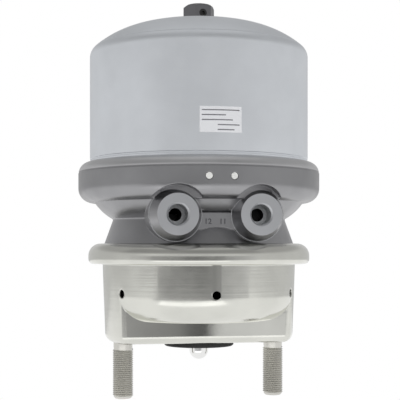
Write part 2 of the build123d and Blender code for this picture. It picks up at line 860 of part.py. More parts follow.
def release_bolt():
    """Long bolt through the crown with a collar that takes the spring's pull."""
    collar_top = boss_low_z - washer_thickness
    top = nut_top_z - nut_cap
    shank = ring(0, bolt_radius, bolt_low_z, top - bolt_low_z)
    return shank + ring(0, bolt_collar_radius, collar_top - bolt_collar_height, bolt_collar_height)


def thrust_washer():
    """Washer between the bolt's collar and the crown's boss."""
    inner = bolt_radius + fit_gap
    return ring(inner, bolt_collar_radius, boss_low_z - washer_thickness, washer_thickness)


def release_nut():
    """Hexagon nut locked on the bolt's top, with its corners chamfered."""
    height = nut_top_z - nut_seat_z
    corner_r = nut_across_flats / sqrt(3)
    hexagon = RegularPolygon(nut_across_flats / 2, 6, major_radius=False, rotation=nut_turn)
    block = extrude(Pos(0, 0, nut_seat_z) * hexagon, height)
    cap = turned(
        *path(
            (0, nut_seat_z),
            (corner_r + nut_cap, nut_seat_z),
            (corner_r + nut_cap, nut_top_z - nut_chamfer_height),
            (corner_r + nut_cap - nut_chamfer_width, nut_top_z),
            (0, nut_top_z),
            (0, nut_seat_z),
        )
    )
    block &= cap
    block -= ring(0, bolt_radius + fit_gap, nut_seat_z, height - nut_cap)
    screw_way = Cylinder(nut_screw_radius + fit_gap, 2 * nut_screw_length)
    return block - nut_screw_place() * screw_way


def nut_screw_place():
    """Centre of the nut's front flat, turned to face outwards."""
    middle = nut_seat_z + nut_screw_share * (nut_top_z - nut_seat_z)
    return Rot(0, 0, nut_turn) * Pos(0, -nut_across_flats / 2, middle) * Rot(90, 0, 0)


def nut_lock_screw():
    """Socket set screw that locks the nut on the bolt."""
    end = (Align.CENTER, Align.CENTER, Align.MAX)
    length = nut_across_flats / 2 - bolt_radius - 2 * fit_gap
    screw = Cylinder(nut_screw_radius, length, align=end)
    socket = extrude(RegularPolygon(nut_screw_socket, 6, major_radius=False), -length / 2)
    return nut_screw_place() * Pos(0, 0, -2 * fit_gap) * (screw - socket)


def release_traveller():
    """Threaded sleeve on the bolt that pulls the piston back when the bolt is wound."""
    inner = bolt_radius + fit_gap
    outer = tube_bore - soft_gap
    return ring(inner, outer, bolt_low_z + traveller_rise, traveller_height)


makers = [
    service_housing, mounting_studs, sealing_boot, boot_clip, spring_seat,
    pushrod, pushrod_plate, return_spring, diaphragm,
    centre_body, breather_plugs, housing_seal, tube_seal, tube_bush,
    spring_housing, power_spring, parking_piston, piston_seal, piston_guide_ring,
    piston_tube, thrust_foot, release_bolt, thrust_washer, release_nut, nut_lock_screw,
    release_traveller,
]

os.makedirs("parts", exist_ok=True)
for make in makers:
    shape = make()
    export_step(shape, f"parts/{make.__name__}.step")
    print(make.__name__, "solids", len(shape.solids()), "volume", round(shape.volume))
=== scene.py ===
# %% [markdown]
# A spring brake chamber for an air disc brake, dressed over its CAD frame. The CAD solids fix every
# size, place and joint. Here the pieces that show are modelled again with smooth, even meshes, and
# the pieces inside keep their CAD solids and only get a finish.

import json
from math import acos, atan2, cos, degrees, pi, radians, sin, sqrt

import bpy
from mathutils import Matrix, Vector

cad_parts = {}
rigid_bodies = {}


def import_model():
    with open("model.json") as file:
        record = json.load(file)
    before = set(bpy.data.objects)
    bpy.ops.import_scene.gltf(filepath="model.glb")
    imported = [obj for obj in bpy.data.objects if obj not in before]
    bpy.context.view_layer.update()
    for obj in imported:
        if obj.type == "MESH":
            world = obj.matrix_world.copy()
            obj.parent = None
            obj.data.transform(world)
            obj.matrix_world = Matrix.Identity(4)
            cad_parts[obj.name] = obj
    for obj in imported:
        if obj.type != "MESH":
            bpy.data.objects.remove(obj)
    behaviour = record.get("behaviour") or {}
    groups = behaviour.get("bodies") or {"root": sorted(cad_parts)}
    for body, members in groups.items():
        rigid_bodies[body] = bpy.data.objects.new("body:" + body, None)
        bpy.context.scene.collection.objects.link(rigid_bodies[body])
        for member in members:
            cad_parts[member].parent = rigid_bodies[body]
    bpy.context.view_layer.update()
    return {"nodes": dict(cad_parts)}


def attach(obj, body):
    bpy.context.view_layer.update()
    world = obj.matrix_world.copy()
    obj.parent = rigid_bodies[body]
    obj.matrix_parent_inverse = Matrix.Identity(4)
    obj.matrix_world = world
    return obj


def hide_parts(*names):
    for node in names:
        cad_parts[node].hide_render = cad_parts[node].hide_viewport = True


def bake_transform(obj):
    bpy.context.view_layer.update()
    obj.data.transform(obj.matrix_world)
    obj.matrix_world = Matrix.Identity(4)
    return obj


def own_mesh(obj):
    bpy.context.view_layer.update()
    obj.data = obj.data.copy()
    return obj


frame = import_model()
mm = 0.001
print("CAD nodes:", len(frame["nodes"]))

# %% [markdown]
# Nearly every part of a brake chamber is turned, drawn or cast round one axis. So most pieces start
# as a line of points, drawn as a half section, that is spun about the axis. A few helpers keep that
# short: one deselects, one draws the line, one spins it, and one gives the points of an arc.

# %% Helpers for turned pieces
turn_steps = 144


def clear_selection():
    """Nothing stays selected, so that the next operator acts on its own piece only."""
    if bpy.context.mode != "OBJECT":
        bpy.ops.object.mode_set(mode="OBJECT")
    bpy.ops.object.select_all(action="DESELECT")


def arc(centre_r, centre_z, radius, first, last, steps=8):
    """Points of an arc in the half section, angles in degrees, sizes in millimetres."""
    spots = []
    for step in range(steps + 1):
        turn = radians(first + (last - first) * step / steps)
        spots.append((centre_r + radius * cos(turn), centre_z + radius * sin(turn)))
    return spots


def bow(start, middle, end, steps=8):
    """Points of the arc through three points of the half section."""
    (ax, az), (bx, bz), (cx, cz) = start, middle, end
    d = 2 * (ax * (bz - cz) + bx * (cz - az) + cx * (az - bz))
    a2, b2, c2 = ax**2 + az**2, bx**2 + bz**2, cx**2 + cz**2
    ux = (a2 * (bz - cz) + b2 * (cz - az) + c2 * (az - bz)) / d
    uz = (a2 * (cx - bx) + b2 * (ax - cx) + c2 * (bx - ax)) / d
    first = degrees(atan2(az - uz, ax - ux))
    last = degrees(atan2(cz - uz, cx - ux))
    middle_angle = degrees(atan2(bz - uz, bx - ux))
    for turn in (-360, 360):
        if not min(first, last) <= middle_angle <= max(first, last):
            last += turn if (turn > 0) == (last < first) else 0
    return arc(ux, uz, sqrt((ax - ux) ** 2 + (az - uz) ** 2), first, last, steps)


def draw_line(name, spots, closed=False):
    """A line of vertices in the XZ plane, made by extruding one vertex from spot to spot."""
    clear_selection()
    bpy.ops.mesh.primitive_plane_add(size=mm)
    piece = bpy.context.object
    piece.name = name
    bpy.ops.object.mode_set(mode="EDIT")
    bpy.ops.mesh.select_mode(type="VERT")
    bpy.ops.mesh.select_all(action="SELECT")
    bpy.ops.mesh.merge(type="CENTER")
    places = [Vector((r * mm, 0, z * mm)) for r, z in spots]
    bpy.ops.transform.translate(value=places[0])
    for here, there in zip(places, places[1:]):
        bpy.ops.mesh.extrude_region_move(TRANSFORM_OT_translate={"value": there - here})
    if closed:
        bpy.ops.mesh.extrude_region_move(TRANSFORM_OT_translate={"value": places[0] - places[-1]})
        bpy.ops.mesh.select_all(action="SELECT")
        bpy.ops.mesh.remove_doubles(threshold=0.001 * mm)
    bpy.ops.object.mode_set(mode="OBJECT")
    return piece


def tidy_mesh():
    """In edit mode: joins what coincides and turns every face outwards."""
    bpy.ops.mesh.select_all(action="SELECT")
    bpy.ops.mesh.remove_doubles(threshold=0.002 * mm)
    bpy.ops.mesh.normals_make_consistent(inside=False)


def turned(name, spots, steps=turn_steps):
    """A closed piece, spun about the axis from its closed half section."""
    piece = draw_line(name, spots, closed=True)
    bpy.ops.object.mode_set(mode="EDIT")
    bpy.ops.mesh.select_all(action="SELECT")
    bpy.ops.mesh.spin(steps=steps, angle=2 * pi, center=(0, 0, 0), axis=(0, 0, 1))
    tidy_mesh()
    bpy.ops.object.mode_set(mode="OBJECT")
    return piece


def finish_mesh(piece, angle=32, even=False):
    """Moves the piece's place into its mesh and smooths it up to an angle, large faces first."""
    clear_selection()
    bpy.context.view_layer.objects.active = piece
    piece.select_set(True)
    bpy.ops.object.transform_apply(location=True, rotation=True, scale=True)
    bpy.ops.object.shade_smooth_by_angle(angle=radians(angle))
    if even:
        weigh = piece.modifiers.new("even", "WEIGHTED_NORMAL")
        weigh.keep_sharp = True
        bpy.ops.object.modifier_apply(modifier=weigh.name)
    print(piece.name, "faces", len(piece.data.polygons))
    return piece


def combine(piece, other, operation):
    """Joins, cuts or keeps what is common with another solid, which is then removed."""
    clear_selection()
    bpy.context.view_layer.objects.active = piece
    piece.select_set(True)
    cut = piece.modifiers.new(operation.lower(), "BOOLEAN")
    cut.operation = operation
    cut.solver = "EXACT"
    cut.object = other
    bpy.ops.object.modifier_apply(modifier=cut.name)
    bpy.data.objects.remove(other, do_unlink=True)
    return piece


def rod(radius, length, place, turn=(0, 0, 0), top=None, sides=64):
    """A cylinder, or a cone with another top radius, centred on place."""
    clear_selection()
    if top is None:
        bpy.ops.mesh.primitive_cylinder_add(
            vertices=sides, radius=radius * mm, depth=length * mm,
            location=[v * mm for v in place], rotation=turn,
        )
    else:
        bpy.ops.mesh.primitive_cone_add(
            vertices=sides, radius1=radius * mm, radius2=top * mm, depth=length * mm,
            location=[v * mm for v in place], rotation=turn,
        )
    return bpy.context.object


print("Turning steps:", turn_steps)

# %% [markdown]
# The finishes. A metal looks real when its roughness and its surface wander a little. Two node
# groups give that and are shared: one is a soft mottle, and one is fine lines round the axis as a
# drawing die or a lathe leaves them; made equally fine in every direction, the lines also give the grain of a casting
# skin.

# %% Shared effects
def new_group(name, inputs, outputs):
    """An empty node group with named sockets."""
    group = bpy.data.node_groups.new(name, "ShaderNodeTree")
    for socket, value in inputs.items():
        made = group.interface.new_socket(socket, in_out="INPUT", socket_type="NodeSocketFloat")
        made.default_value = value
    for socket in outputs:
        group.interface.new_socket(socket, in_out="OUTPUT", socket_type="NodeSocketFloat")
    start = group.nodes.new("NodeGroupInput")
    end = group.nodes.new("NodeGroupOutput")
    return group, start, end


def add_mottle():
    """Soft clouds between a low and a high value."""
    group, start, end = new_group("mottle", {"Scale": 30, "Low": 0.2, "High": 0.4}, ["Value"])
    nodes, links = group.nodes, group.links
    place = nodes.new("ShaderNodeTexCoord")
    clouds = nodes.new("ShaderNodeTexNoise")
    clouds.inputs["Detail"].default_value = 5
    spread = nodes.new("ShaderNodeMapRange")
    spread.inputs["From Min"].default_value = 0.3
    spread.inputs["From Max"].default_value = 0.7
    links.new(place.outputs["Object"], clouds.inputs["Vector"])
    links.new(start.outputs["Scale"], clouds.inputs["Scale"])
    links.new(clouds.outputs["Fac"], spread.inputs["Value"])
    links.new(start.outputs["Low"], spread.inputs["To Min"])
    links.new(start.outputs["High"], spread.inputs["To Max"])
    links.new(spread.outputs["Result"], end.inputs["Value"])
    return group


def add_lines():
    """Fine lines: noise stretched so that it changes fast along one axis and slowly along the rest."""
    group, start, end = new_group("lines", {"Across": 900, "Along": 6}, ["Height"])
    nodes, links = group.nodes, group.links
    place = nodes.new("ShaderNodeTexCoord")
    split = nodes.new("ShaderNodeSeparateXYZ")
    join = nodes.new("ShaderNodeCombineXYZ")
    noise = nodes.new("ShaderNodeTexNoise")
    noise.inputs["Scale"].default_value = 1
    noise.inputs["Detail"].default_value = 3
    links.new(place.outputs["Object"], split.inputs["Vector"])
    for axis, amount in (("X", "Along"), ("Y", "Along"), ("Z", "Across")):
        times = nodes.new("ShaderNodeMath")
        times.operation = "MULTIPLY"
        links.new(split.outputs[axis], times.inputs[0])
        links.new(start.outputs[amount], times.inputs[1])
        links.new(times.outputs[0], join.inputs[axis])
    links.new(join.outputs["Vector"], noise.inputs["Vector"])
    links.new(noise.outputs["Fac"], end.inputs["Height"])
    return group


mottle = add_mottle()
lines = add_lines()
print("Shared effects:", [group.name for group in bpy.data.node_groups])

# %% [markdown]
# A finish is one material: a colour that a soft mottle lightens and darkens a little, a roughness
# that wanders between two values, and a bump from lines or from cast grain. Edges of cast and
# pressed metal are never sharp, so the Bevel node rounds the shading there.

# %% Finishes
def finish(name, colour, metal, rough, bump, grain=(900, 6), edge=0.0, tint=0.06, clouds=30):
    """A material with a mottled colour and roughness and a fine bump; edge is in millimetres."""
    made = bpy.data.materials.new(name)
    made.use_nodes = True
    nodes, links = made.node_tree.nodes, made.node_tree.links
    shader = nodes["Principled BSDF"]
    shader.inputs["Metallic"].default_value = metal
    tone = nodes.new("ShaderNodeGroup")
    tone.node_tree = mottle
    tone.inputs["Scale"].default_value = clouds
    tone.inputs["Low"].default_value = 0
    tone.inputs["High"].default_value = 1
    mix = nodes.new("ShaderNodeMix")
    mix.data_type = "RGBA"
    mix.inputs["A"].default_value = [c * (1 - tint) for c in colour] + [1]
    mix.inputs["B"].default_value = [min(1, c * (1 + tint)) for c in colour] + [1]
    links.new(tone.outputs["Value"], mix.inputs["Factor"])
    links.new(mix.outputs["Result"], shader.inputs["Base Color"])
    gloss = nodes.new("ShaderNodeGroup")
    gloss.node_tree = mottle
    gloss.inputs["Scale"].default_value = 2.3 * clouds
    gloss.inputs["Low"].default_value = rough[0]
    gloss.inputs["High"].default_value = rough[1]
    links.new(gloss.outputs["Value"], shader.inputs["Roughness"])
    streaks = nodes.new("ShaderNodeGroup")
    streaks.node_tree = lines
    streaks.inputs["Across"].default_value = grain[0]
    streaks.inputs["Along"].default_value = grain[1]
    height = nodes.new("ShaderNodeBump")
    height.inputs["Strength"].default_value = bump
    height.inputs["Distance"].default_value = 0.1 * mm
    links.new(streaks.outputs["Height"], height.inputs["Height"])
    if edge:
        soft = nodes.new("ShaderNodeBevel")
        soft.samples = 6
        soft.inputs["Radius"].default_value = edge * mm
        links.new(soft.outputs["Normal"], height.inputs["Normal"])
    links.new(height.outputs["Normal"], shader.inputs["Normal"])
    return made


drawn_steel = finish("drawn_steel", (0.68, 0.68, 0.635), 1.0, (0.12, 0.22), 0.25, edge=1.4)
can_aluminium = finish("can_aluminium", (0.87, 0.90, 0.94), 1.0, (0.36, 0.46), 0.3, grain=(60, 60), tint=0.04)
cast_aluminium = finish("cast_aluminium", (0.34, 0.34, 0.35), 1.0, (0.30, 0.40), 0.5, grain=(1300, 1300), edge=1.0)
pressed_panel = finish("pressed_panel", (0.68, 0.68, 0.635), 1.0, (0.04, 0.08), 0.1)
rolled_lip = finish("rolled_lip", (0.62, 0.62, 0.63), 1.0, (0.30, 0.38), 0.3, grain=(900, 900))
machined_face = finish("machined_face", (0.60, 0.61, 0.63), 1.0, (0.34, 0.42), 0.2, grain=(700, 700))
tapped_bore = finish("tapped_bore", (0.42, 0.43, 0.44), 0.3, (0.4, 0.5), 0.6, grain=(900, 900))
zinc_thread = finish("zinc_thread", (0.62, 0.61, 0.57), 1.0, (0.24, 0.36), 0.2, grain=(500, 500))
polished_rod = finish("polished_rod", (0.80, 0.80, 0.79), 1.0, (0.06, 0.12), 0.05)
black_rubber = finish("black_rubber", (0.014, 0.014, 0.014), 0.0, (0.6, 0.75), 0.2, grain=(600, 600), edge=0.4)
dark_steel = finish("dark_steel", (0.20, 0.20, 0.21), 1.0, (0.34, 0.46), 0.4, grain=(900, 900), edge=0.5)
black_screw = finish("black_screw", (0.05, 0.05, 0.05), 0.8, (0.4, 0.5), 0.2)
white_plug = finish("white_plug", (0.86, 0.86, 0.84), 0.0, (0.5, 0.6), 0.5, grain=(1500, 1500), edge=0.3)
# The port numbers' near-black colour is painted shade: it stands in for the shadow that makes cast digits read darker
# than the web.
number_painted_shade = finish("number_painted_shade", (0.10, 0.10, 0.11), 0.6, (0.5, 0.6), 0.3)
label_paper = finish("label_paper", (0.86, 0.87, 0.90), 0.0, (0.4, 0.5), 0.1, tint=0.02)
label_ink = finish("label_ink", (0.20, 0.20, 0.22), 0.0, (0.5, 0.6), 0.05)
spring_paint = finish("spring_paint", (0.05, 0.05, 0.055), 0.2, (0.35, 0.5), 0.2, grain=(400, 400))
piston_aluminium = finish("piston_aluminium", (0.62, 0.63, 0.64), 1.0, (0.3, 0.4), 0.4, grain=(900, 900))
guide_plastic = finish("guide_plastic", (0.74, 0.70, 0.58), 0.0, (0.4, 0.5), 0.1)
# Near black for the deep air ways: painted shade, not the colour of the cast metal.
bore_painted_shade = finish("bore_painted_shade", (0.03, 0.03, 0.03), 0.4, (0.6, 0.7), 0.1)
print("Finishes:", len(bpy.data.materials))


def dress(piece, material, body, *nodes):
    """Gives a piece its finish, its body and the CAD nodes that it stands for."""
    if not piece.data.materials:
        piece.data.materials.append(material)
    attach(piece, body)
    if nodes:
        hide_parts(*nodes)


# %% [markdown]
# The parking chamber's can is deep drawn aluminium: a straight wall, a tight knee, a rounder
# shoulder and a shallow crown. Its half section is drawn with the wall's thickness and spun. A fine
# groove runs round the end of the knee, and a fine step just above the casting's lip.

# %% Spring housing
can_r, can_wall, can_low, can_straight = 86.0, 4.0, 123.5, 222.0
knee_r, knee_lean, shoulder_r, crown_r = 10.0, 50.0, 80.0, 200.0
knee = can_r - knee_r
shoulder_x = knee - (shoulder_r - knee_r) * cos(radians(knee_lean))
shoulder_z = can_straight - (shoulder_r - knee_r) * sin(radians(knee_lean))
crown_lean = degrees(acos(shoulder_x / (crown_r - shoulder_r)))
crown_z = shoulder_z - (crown_r - shoulder_r) * sin(radians(crown_lean))
face_r = 14.0
face_z = crown_z + sqrt(crown_r**2 - face_r**2)
face_angle = degrees(atan2(face_z - crown_z, face_r))
inner_crown = crown_r - can_wall
boss_r, boss_low = 16.0, crown_z + crown_r - can_wall - 9.0
boss_angle = degrees(atan2(sqrt(inner_crown**2 - boss_r**2), boss_r))
bolt_hole_r = 6.05
can_section = [
    (can_r - can_wall, can_low), (91.0, can_low), (91.0, 131.5), (can_r, 131.5),
    (can_r, 141.0), (can_r - 0.35, 141.5), (can_r - 0.35, 142.2), (can_r, 142.7), (can_r, 180.0),
    *arc(knee, can_straight, knee_r, 0, 44, 10),
    *arc(knee, can_straight, knee_r - 0.3, 46.5, 47.5, 1),
    *arc(shoulder_x, shoulder_z, shoulder_r, knee_lean, crown_lean, 16),
    *arc(0, crown_z, crown_r, crown_lean, face_angle, 8)[1:],
    (bolt_hole_r, face_z), (bolt_hole_r, boss_low), (boss_r, boss_low),
    *arc(0, crown_z, inner_crown, boss_angle, crown_lean, 6),
    *arc(shoulder_x, shoulder_z, shoulder_r - can_wall, crown_lean, knee_lean, 10)[1:],
    *arc(knee, can_straight, knee_r - can_wall, knee_lean, 0, 6)[1:],
]
can = turned("spring_can", can_section)
finish_mesh(can, 25)
dress(can, can_aluminium, "housing", "spring_housing")

# %% [markdown]
# The centre body is the hardest piece: a die casting that grips both chambers. Its outer shape is
# spun as one solid. Then the pockets in the rim are cut, the two tapered port bosses and the flat
# web between them are joined on, and the two chambers and the drillings are cut last, as a foundry
# and a machine shop would.

# %% Centre body, outer shape
port_x, port_z, port_face, pad_y = 30.2, 97.0, -88.0, -74.5
body_outline = [
    (0, 69.0), (84.06, 69.0),
    *arc(77.7, 67.0, 6.7, 18, 90, 6),
    (74.8, 75.4), (74.6, 76.5), (68.6, 92.9),
    *arc(69.2, 94.9, 1.2, 200, 130, 4),
    *bow((69.0, 96.2), (75.5, 100.9), (81.4, 107.4), 8),
    (82.4, 108.5),
    *arc(84.0, 119.5, 11.0, -88, 0, 12),
    (95.0, 131.2), (94.6, 131.7),
    *bow((94.7, 132.4), (92.7, 136.9), (88.4, 139.6), 8),
    (86.3, 139.8), (0, 139.8),
]
casting = turned("cast_body", body_outline)
for side in (-1, 1):
    pocket = rod(21.5, 60.0, (side * port_x, pad_y - 30.0, port_z), (pi / 2, 0, 0), sides=96)
    combine(pocket, rod(85.2, 48.0, (0, 0, 124.9), sides=288), "DIFFERENCE")
    combine(casting, pocket, "DIFFERENCE")
print("Body with pockets:", len(casting.data.polygons), "faces")

# %% [markdown]
# Each boss is a cone that narrows towards its machined face. The pads behind them are short round
# blocks. The web between the pads is a box whose lower edge is arched by a cutting cylinder.

# %% Port bosses, pads and web
pad_depth = 24.0
for side in (-1, 1):
    pad = rod(19.5, pad_depth, (side * port_x, pad_y + pad_depth / 2, port_z), (pi / 2, 0, 0), sides=96)
    combine(casting, pad, "UNION")
    boss_length = pad_y - port_face + 0.5
    boss = rod(
        19.3, boss_length, (side * port_x, port_face + boss_length / 2, port_z), (pi / 2, 0, 0),
        top=15.0, sides=96,
    )
    combine(casting, boss, "UNION")
clear_selection()
bpy.ops.mesh.primitive_cube_add(size=1, location=(0, (pad_y + pad_depth / 2) * mm, 92.5 * mm))
web = bpy.context.object
bpy.ops.object.mode_set(mode="EDIT")
bpy.ops.mesh.select_all(action="SELECT")
bpy.ops.transform.resize(value=(40 * mm, pad_depth * mm, 12.2 * mm))
bpy.ops.object.mode_set(mode="OBJECT")
arch = rod(26.0, 60.0, (0, pad_y, 87.6 - 25.2), (pi / 2, 0, 0), sides=96)
combine(web, arch, "DIFFERENCE")
combine(casting, web, "UNION")
print("Body with bosses:", len(casting.data.polygons), "faces")

# %% [markdown]
# The chambers are cut as two spun solids. The port bores are stepped: a wide mouth with a chamfer,
# the tapped length, and a narrower air way behind it. Port 11 turns down into the service chamber.

# %% Chambers and bores
upper_section = [
    (0, 141.0), (0, 117.5), (23.0, 117.5), (23.0, 98.0), (62.7, 98.0),
    *bow((62.7, 98.0), (71.5, 106.0), (81.7, 114.0), 6)[1:],
    (81.7, 123.5), (91.3, 123.5), (91.3, 131.8), (86.3, 131.8), (86.3, 141.0),
]
combine(casting, turned("upper_chamber", upper_section), "DIFFERENCE")
lower_section = [
    (0, 68.0), (73.65, 68.0), (73.65, 76.5), (62.7, 88.0), (19.3, 88.0), (19.3, 93.3),
    (15.05, 93.3), (15.05, 118.5), (0, 118.5),
]
combine(casting, turned("lower_chamber", lower_section), "DIFFERENCE")
for side, depth in ((-1, 36.0), (1, 27.0)):
    centre = side * port_x
    for radius, low, high, mouth in (
        (4.75, 1.0, depth, None), (7.25, 1.0, 15.0, None), (9.45, 1.0, 1.2, 7.25),
    ):
        middle = port_face + (high - low) / 2
        if mouth is None:
            tool = rod(radius, low + high, (centre, middle, port_z), (pi / 2, 0, 0))
        else:
            tool = rod(mouth, low + high, (centre, middle, port_z), (pi / 2, 0, 0), top=radius)
        combine(casting, tool, "DIFFERENCE")
drill = rod(3.0, 22.0, (port_x, -64.0, 86.0), sides=32)
combine(casting, drill, "DIFFERENCE")
for side in (-1, 1):
    angle = radians(side * 5.5)
    spot = (95.0 * sin(angle), -95.0 * cos(angle), 124.0)
    combine(casting, rod(2.75, 5.0, spot, (pi / 2, 0, angle), sides=32), "DIFFERENCE")
bpy.context.view_layer.objects.active = casting
casting.select_set(True)
bpy.ops.object.mode_set(mode="EDIT")
tidy_mesh()
bpy.ops.object.mode_set(mode="OBJECT")
finish_mesh(casting, 28, even=True)
print("Centre body:", len(casting.data.polygons), "faces")

# %% [markdown]
# The casting has four finishes: the satin skin all over, the bright machined ring on each port
# face, the tapped bores, and the air ways behind them, painted near black as painted shade of the
# deep holes. Faces are given a finish by their place.

# %% Finishes of the casting
casting.data.materials.append(cast_aluminium)
casting.data.materials.append(machined_face)
casting.data.materials.append(bore_painted_shade)
casting.data.materials.append(tapped_bore)
casting.data.materials.append(rolled_lip)
for face in casting.data.polygons:
    x, y, z = [v / mm for v in face.center]
    off_axis = min(sqrt((abs(x) - port_x) ** 2 + (z - port_z) ** 2), 99)
    if y < -70 and y < port_face + 0.05 and off_axis < 15.1:
        face.material_index = 1
    elif -86.9 < y < -72.9 and off_axis < 9.0:
        face.material_index = 3
    elif -87.9 < y < -80 and off_axis < 9.0:
        face.material_index = 1
    # The narrow air ways behind the tapped length get the near-black painted shade.
    elif -73.2 < y < -50 and off_axis < 5.2:
        face.material_index = 2
    elif z > 132.4 and x * x + y * y > 86.0 ** 2:
        face.material_index = 4
dress(casting, cast_aluminium, "housing", "centre_body")

# %% [markdown]
# The service housing is a steel pressing: a round bowl on a flat-sided foot, with a bead rolled
# over the casting's flange. The bowl and the bead are spun, and the foot is a box rounded at its
# edges. They are joined, and then the inside, made in the same way one wall smaller, is cut out.

# %% Service housing
def bowl(name, inset, top_z):
    """The round cup as a solid; inset moves it in by a wall."""
    corner_r = 20.0 - inset
    wall_low = 75.2 - inset
    wall_top = wall_low + 0.8 * (top_z - 37.0) / 23.7
    section = [
        (0, 17.0 + inset), *arc(wall_low - corner_r, 37.0, corner_r, -90, 0, 14),
        (wall_top, top_z), (0, top_z),
    ]
    return turned(name, section)


def foot(name, inset):
    """The flat-sided foot as a solid: its outline is drawn, laid flat, filled and raised."""
    half, radius, corner_r, height = 35.5 - inset, 73.8 - inset, 6.5 - inset, 37.0 - inset
    across = half - corner_r
    along = sqrt((radius - corner_r) ** 2 - across**2)
    lean = degrees(atan2(across, along))
    outline = [
        *arc(along, across, corner_r, 90, lean, 6),
        *arc(0, 0, radius, lean, -lean, 20)[1:],
        *arc(along, -across, corner_r, -lean, -90, 6)[1:],
        *arc(-along, -across, corner_r, -90, lean - 180, 6),
        *arc(0, 0, radius, 180 + lean, 180 - lean, 20)[1:],
        *arc(-along, across, corner_r, 180 - lean, 90, 6)[1:],
    ]
    piece = draw_line(name, outline, closed=True)
    bpy.ops.object.mode_set(mode="EDIT")
    bpy.ops.mesh.select_all(action="SELECT")
    bpy.ops.transform.rotate(value=pi / 2, orient_axis="X", center_override=(0, 0, 0))
    bpy.ops.transform.translate(value=(0, 0, inset * mm))
    bpy.ops.mesh.edge_face_add()
    bpy.ops.mesh.extrude_region_move(TRANSFORM_OT_translate={"value": (0, 0, height * mm)})
    tidy_mesh()
    bpy.ops.mesh.select_all(action="DESELECT")
    bpy.ops.mesh.select_mode(type="EDGE")
    bpy.ops.object.mode_set(mode="OBJECT")
    low = inset * mm
    for edge in piece.data.edges:
        a, b = [piece.data.vertices[i].co for i in edge.vertices]
        edge.select = abs(a.z - low) < 1e-6 and abs(b.z - low) < 1e-6
    bpy.ops.object.mode_set(mode="EDIT")
    bpy.ops.mesh.bevel(offset=(6.0 - inset) * mm, segments=6, affect="EDGES")
    tidy_mesh()
    bpy.ops.object.mode_set(mode="OBJECT")
    for v in piece.data.vertices:
        spread = (v.co.z / mm - inset) * 0.035
        v.co.x *= 1 + spread / radius
        v.co.y *= 1 + spread / half
    return piece


shell = bowl("service_shell", 0.0, 63.2)
combine(shell, foot("foot_outer", 0.0), "UNION")
bead_section = [
    (72.0, 60.7), (82.8, 60.7), *arc(83.5, 64.4, 3.7, -85, 0, 6),
    *arc(77.7, 67.0, 9.5, 0, 90, 12), (77.7, 74.0), *arc(77.7, 67.0, 7.0, 85, 0, 10),
    *arc(83.5, 64.4, 1.2, 0, -90, 3), (72.0, 63.2),
]
combine(shell, turned("bead", bead_section), "UNION")
combine(shell, bowl("bowl_inside", 3.0, 66.0), "DIFFERENCE")
combine(shell, foot("foot_inside", 3.0), "DIFFERENCE")
combine(shell, rod(24.5, 12.0, (0, 0, 0)), "DIFFERENCE")
combine(shell, rod(27.8, 2.0, (0, 0, 0), sides=96), "DIFFERENCE")
for side in (-1, 1):
    combine(shell, rod(8.05, 12.0, (side * 60.325, 0, 0)), "DIFFERENCE")
for step in range(6):
    turn = radians(60 * step)
    spot = (76 * sin(turn), -76 * cos(turn), 38.6)
    combine(shell, rod(3.2, 20.0, spot, (pi / 2, 0, turn), sides=32), "DIFFERENCE")
finish_mesh(shell, 30, even=True)
shell.data.materials.append(drawn_steel)
shell.data.materials.append(pressed_panel)
for face in shell.data.polygons:
    if abs(face.normal.y) > 0.998 and abs(face.center.y) > 34 * mm and face.center.z > 5.9 * mm:
        face.material_index = 1
dress(shell, drawn_steel, "housing", "service_housing")

# %% [markdown]
# The studs carry a rolled M16 thread with a pitch of 1.5 mm. One V-shaped ridge is drawn and run
# down the stud with the screw operator, round a plain core with a chamfered end. The thread of a
# rolled stud stands a little proud of its shank.

# %% Mounting studs
pitch, crest_r, root_r, shank_r = 1.5, 8.0, 7.15, 7.4
stud_low, thread_top, head_top = -44.5, -5.6, 8.0


def stud(name, side):
    """One stud with thread and flat head, at its place."""
    core = turned(name, [
        (0, stud_low), (root_r - 1.0, stud_low), (root_r, stud_low + 1.0), (root_r, thread_top),
        (shank_r, thread_top + 0.6), (shank_r, 3.0), (0, 3.0),
    ], steps=48)
    ridge_low = thread_top - pitch
    ridge = draw_line("ridge", [
        (root_r - 0.1, ridge_low), (crest_r, ridge_low + 0.62),
        (crest_r, ridge_low + 0.88), (root_r - 0.1, ridge_low + pitch),
    ])
    bpy.ops.object.mode_set(mode="EDIT")
    bpy.ops.mesh.select_all(action="SELECT")
    turns = int((ridge_low - stud_low - 1.2) / pitch)
    bpy.ops.mesh.screw(steps=48, turns=turns, center=(0, 0, 0), axis=(0, 0, 1))
    bpy.ops.mesh.select_all(action="SELECT")
    bpy.ops.mesh.normals_make_consistent(inside=False)
    bpy.ops.object.mode_set(mode="OBJECT")
    heights = [v.co.z / mm for v in ridge.data.vertices]
    print("Thread from", round(min(heights), 2), "to", round(max(heights), 2))
    clear_selection()
    width = 9.5 + 6.9
    bpy.ops.mesh.primitive_cube_add(size=1, location=(side * (width / 2 - 9.5) * mm, 0, 5.5 * mm))
    head = bpy.context.object
    bpy.ops.object.mode_set(mode="EDIT")
    bpy.ops.mesh.select_all(action="SELECT")
    bpy.ops.transform.resize(value=(width * mm, 24 * mm, 5 * mm))
    bpy.ops.mesh.bevel(offset=1.0 * mm, segments=3, affect="EDGES")
    bpy.ops.object.mode_set(mode="OBJECT")
    clear_selection()
    for part in (core, ridge, head):
        part.select_set(True)
    bpy.context.view_layer.objects.active = core
    bpy.ops.object.join()
    core.location.x = side * 60.325 * mm
    finish_mesh(core, 50)
    return core


studs = [stud("stud_left", -1), stud("stud_right", 1)]
for piece in studs:
    dress(piece, zinc_thread, "housing", "mounting_studs")

# %% [markdown]
# Under the face the boot's rubber lip shows as a black ring, with the polished ball end of the
# pushrod inside it. Both are turned. The boot keeps its folds up to the cuff on the rod.

